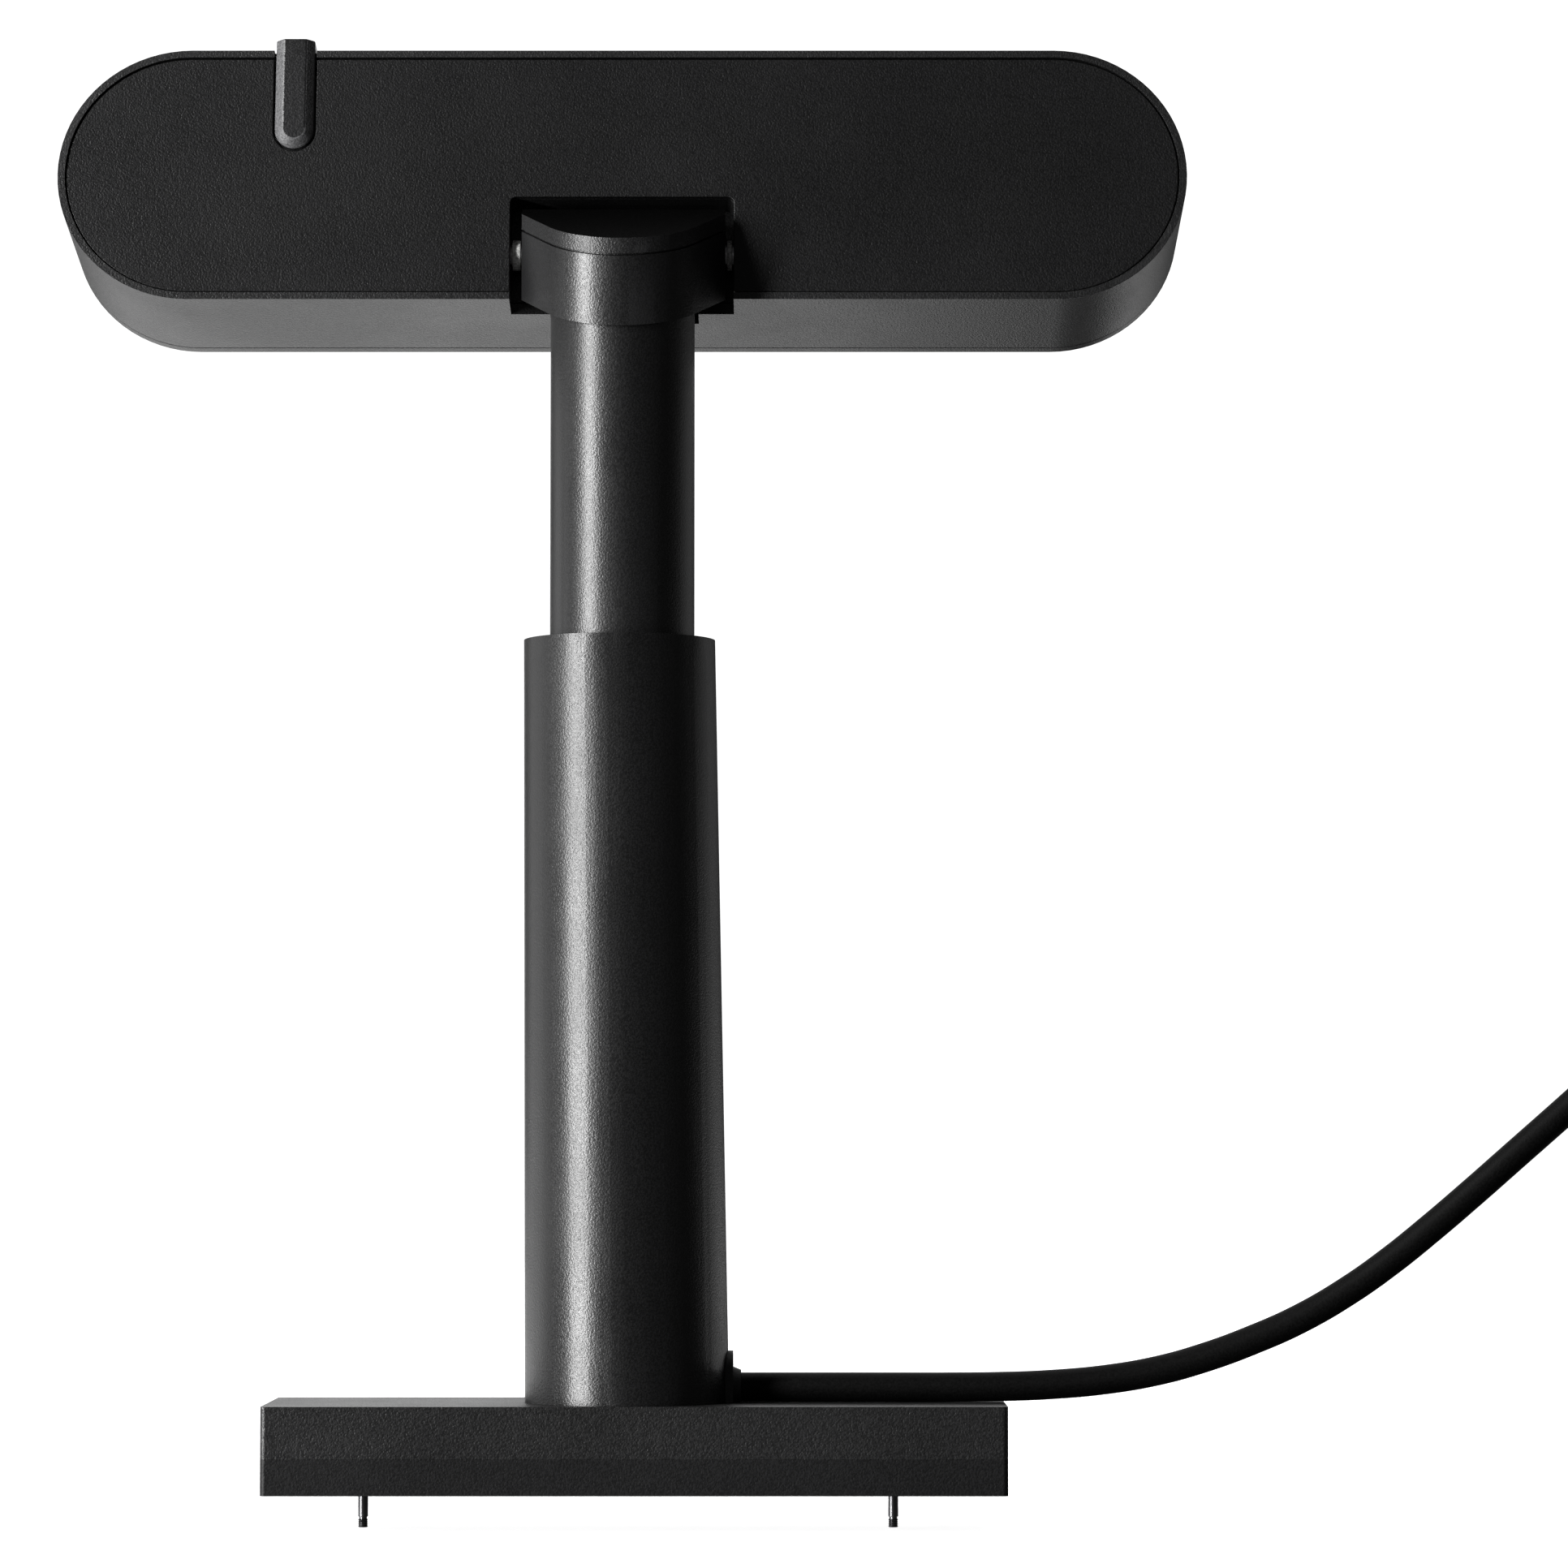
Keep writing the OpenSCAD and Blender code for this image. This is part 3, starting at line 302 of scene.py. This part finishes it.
def skin(node, materials, width):
    """A copy of a CAD node whose sharp edges are rounded to a width in millimetres."""
    mesh = welded(node)
    data = bpy.data.meshes.new(node + "_skin")
    mesh.to_mesh(data)
    mesh.free()
    for face in data.polygons:
        face.use_smooth = True
    piece = bpy.data.objects.new(node + "_skin", data)
    bpy.context.scene.collection.objects.link(piece)
    round_off = piece.modifiers.new("edges", "BEVEL")
    round_off.width = width * MM
    round_off.segments = EDGE_SEGMENTS
    round_off.limit_method = "ANGLE"
    round_off.angle_limit = EDGE_ANGLE
    round_off.use_clamp_overlap = True
    round_off.miter_outer = "MITER_ARC"
    flat = piece.modifiers.new("normals", "WEIGHTED_NORMAL")
    flat.keep_sharp = True
    finish_piece(piece, node, materials)
    # faces near the given direction take the second material: painted highlight on the button's chamfer,
    # painted shade on the cap's sloping top
    if node in PARTS:
        direction, least, most, painted_light_material = PARTS[node]
        data.materials.append(materials[painted_light_material])
        for face in data.polygons:
            if least <= math.degrees(face.normal.angle(direction)) <= most:
                face.material_index = 1
    return piece


# The route of the cord from the gland to its plug, x and z in millimetres.
CORD_ROUTE = [
    (21.3, 19.3), (30, 19.3), (40, 19.3), (50, 19.3), (60, 19.3), (70, 19.4),
    (80, 19.8), (90, 20.7), (100, 22.4), (109, 24.9), (118, 28.2), (127, 32.2),
    (136, 37.4), (144, 43.0), (152, 49.4), (160, 56.2), (168, 63.2), (176, 70.2),
    (184, 77.3)]
CORD_D = 5.6


def make_cord(materials):
    """The lead lies along the base, then rises to its plug, which is held beyond the view."""
    curve = bpy.data.curves.new("lead", "CURVE")
    curve.dimensions = "3D"
    curve.resolution_u = 6
    curve.bevel_depth = CORD_D / 2 * MM
    curve.bevel_resolution = 7
    curve.use_fill_caps = True
    spline = curve.splines.new("BEZIER")
    spline.bezier_points.add(len(CORD_ROUTE) - 1)
    for point, (x, z) in zip(spline.bezier_points, CORD_ROUTE):
        point.co = (x * MM, 0, z * MM)
        point.handle_left_type = point.handle_right_type = "AUTO"
    piece = bpy.data.objects.new("lead", curve)
    bpy.context.scene.collection.objects.link(piece)
    curve.materials.append(materials["cord_jacket"])
    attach(piece, "mount")
    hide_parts("cord")
    length = sum(math.dist(a, b) for a, b in zip(CORD_ROUTE, CORD_ROUTE[1:])) * MM
    return piece, length


# how wide the rounded edges of each skin are, in millimetres
SKINS = {
    "base_cover": 0.3, "wall_plate": 0.4, "outer_sleeve": 0.45, "sleeve_foot": 0.2, "top_bush": 0.25,
    "cable_gland": 0.4, "cord_plug": 0.4, "plug_contact": 0.2, "inner_tube": 0.25,
    "knuckle_body": 0.22, "knuckle_cap": 0.22, "hinge_washers": 0.2, "head_housing": 0.25,
    "face_plate": 0.22, "hinge_pocket": 0.25, "lens_cover": 0.5, "lens_window": 0.25,
    "lens_hood": 0.2, "lens_barrel": 0.2, "button_cap": 0.4, "button_tray": 0.15,
    "mounting_screws": 0.04, "lock_screws": 0.1, "status_light": 0.1,
}


def dress(materials):
    """Every CAD node gets a finely edged skin or, inside the casing, its material."""
    pieces = {node: skin(node, materials, width) for node, width in SKINS.items()}
    for node, obj in nodes.items():
        if node in SKINS or node == "cord":
            continue
        obj.data.materials.clear()
        obj.data.materials.append(materials[slot_of[node]])
    return pieces


# ---------- studio ----------

FLOOR_Z = -0.0074
WALL_R = 3.2
WALL_TOP = 3.5
CENTRE_R, RING_R = 0.02, 0.6        # rings in the flat part of the floor
PAPER_GLOW = 0.9
BEND_R = 1.2            # where the floor curves up into the wall
AIM = (0, 0, 0.13)
AMBIENT = 0.05
FLOOR_CARD_Y = 0.75     # middle of the glowing strips, and their length
FLOOR_CARD_L = 1.3
# each strip's left end, right end and radiance
FLOOR_CARDS = {
    "below_left": (-1.2, -0.03, 1.45),
    "below_right": (-0.03, 0.085, 1.05),
    "below_far_right": (0.3, 1.2, 1.0),
}


def pale_sweep():
    """A pale round floor whose rim curves up into a wall, so it looks the same from every side."""
    mesh = bmesh.new()
    steps, turns = 24, 96
    profile = [(CENTRE_R, FLOOR_Z), (RING_R, FLOOR_Z)]
    for i in range(steps + 1):
        a = math.pi / 2 * i / steps
        profile.append((WALL_R - BEND_R + BEND_R * math.sin(a), FLOOR_Z + BEND_R - BEND_R * math.cos(a)))
    profile.append((WALL_R, WALL_TOP))
    rings = []
    for r, z in profile:
        angles = [2 * math.pi * k / turns for k in range(turns)]
        rings.append([mesh.verts.new((r * math.cos(a), r * math.sin(a), z)) for a in angles])
    mesh.faces.new(rings[0])
    for low, high in zip(rings, rings[1:]):
        for k in range(turns):
            following = (k + 1) % turns
            face = mesh.faces.new((low[k], low[following], high[following], high[k]))
            face.smooth = True
    data = bpy.data.meshes.new("sweep")
    mesh.to_mesh(data)
    mesh.free()
    sweep = bpy.data.objects.new("sweep", data)
    bpy.context.scene.collection.objects.link(sweep)
    material, tree, shader = nodes_of("pale_paper")
    place = tree.nodes.new("ShaderNodeTexCoord").outputs["Object"]
    paper = noise(tree, place, 3, detail=4.0)
    tone = blend_colour(tree, paper, (0.86, 0.86, 0.86), (0.9, 0.9, 0.9))
    tree.links.new(tone, shader.inputs["Base Color"])
    shader.inputs["Roughness"].default_value = 0.9
    shader.inputs["Specular IOR Level"].default_value = 0.1
    shader.inputs["Emission Color"].default_value = (1, 1, 1, 1)
    shader.inputs["Emission Strength"].default_value = PAPER_GLOW
    data.materials.append(material)
    # the paper is seen but neither lights nor shades, so the cards alone shape the black surfaces
    sweep.visible_glossy = False
    sweep.visible_diffuse = False
    sweep.visible_shadow = False


def softbox(name, at, aim, width, height, radiance):
    """A rectangular light card at a point, aimed at another, of a given brightness."""
    data = bpy.data.lights.new(name, "AREA")
    data.shape = "RECTANGLE"
    data.size, data.size_y = width, height
    # a flat light's power is its radiance times pi times its area
    data.energy = radiance * math.pi * width * height
    light = bpy.data.objects.new(name, data)
    bpy.context.scene.collection.objects.link(light)
    light.location = at
    light.visible_camera = False
    light.rotation_mode = "QUATERNION"
    light.rotation_quaternion = (Vector(aim) - Vector(at)).to_track_quat("-Z", "Y")


def around(azimuth, distance, height):
    """A point round the object: azimuth 0 is the front, and positive is to the left."""
    a = math.radians(azimuth)
    return (-distance * math.sin(a), -distance * math.cos(a), height)


def floor_card(name, x0, x1, radiance):
    """A glowing strip of floor behind the object, which the head's lower wall mirrors."""
    middle = ((x0 + x1) / 2, FLOOR_CARD_Y, FLOOR_Z + 0.002)
    softbox(name, middle, (middle[0], middle[1], 1), x1 - x0, FLOOR_CARD_L, radiance)


def light_studio():
    """A narrow bright key on the left and dimmer cards all round, so that every side has some light."""
    world = bpy.data.worlds.new("room")
    bpy.context.scene.world = world
    world.use_nodes = True
    background = world.node_tree.nodes["Background"]
    background.inputs["Color"].default_value = (1, 1, 1, 1)
    background.inputs["Strength"].default_value = AMBIENT
    # name, place, aim, width, height, radiance
    softbox("key", around(53, 1.3, 0.35), AIM, 0.16, 1.5, 66)
    softbox("left", around(112, 1.6, 0.4), AIM, 1.5, 1.6, 0.9)
    softbox("front", around(20, 2.2, 0.45), AIM, 1.8, 0.9, 0.13)
    softbox("top", (0.0, 0.7, 1.7), (0, 0.1, 0), 1.4, 1.0, 1.6)
    softbox("rear", around(180, 2.0, 1.0), AIM, 1.8, 0.9, 1.3)
    softbox("back", (-0.38, 2.0, 0.28), (0, 0, 0.1), 0.55, 0.6, 1.1)
    softbox("right", around(-128, 1.6, 0.4), AIM, 1.2, 1.6, 0.2)
    for name, (x0, x1, radiance) in FLOOR_CARDS.items():
        floor_card(name, x0, x1, radiance)
    bpy.context.scene.view_settings.view_transform = "Standard"


make_camera()
materials = make_materials()
lead, lead_length = make_cord(materials)
pieces = dress(materials)
pale_sweep()
light_studio()
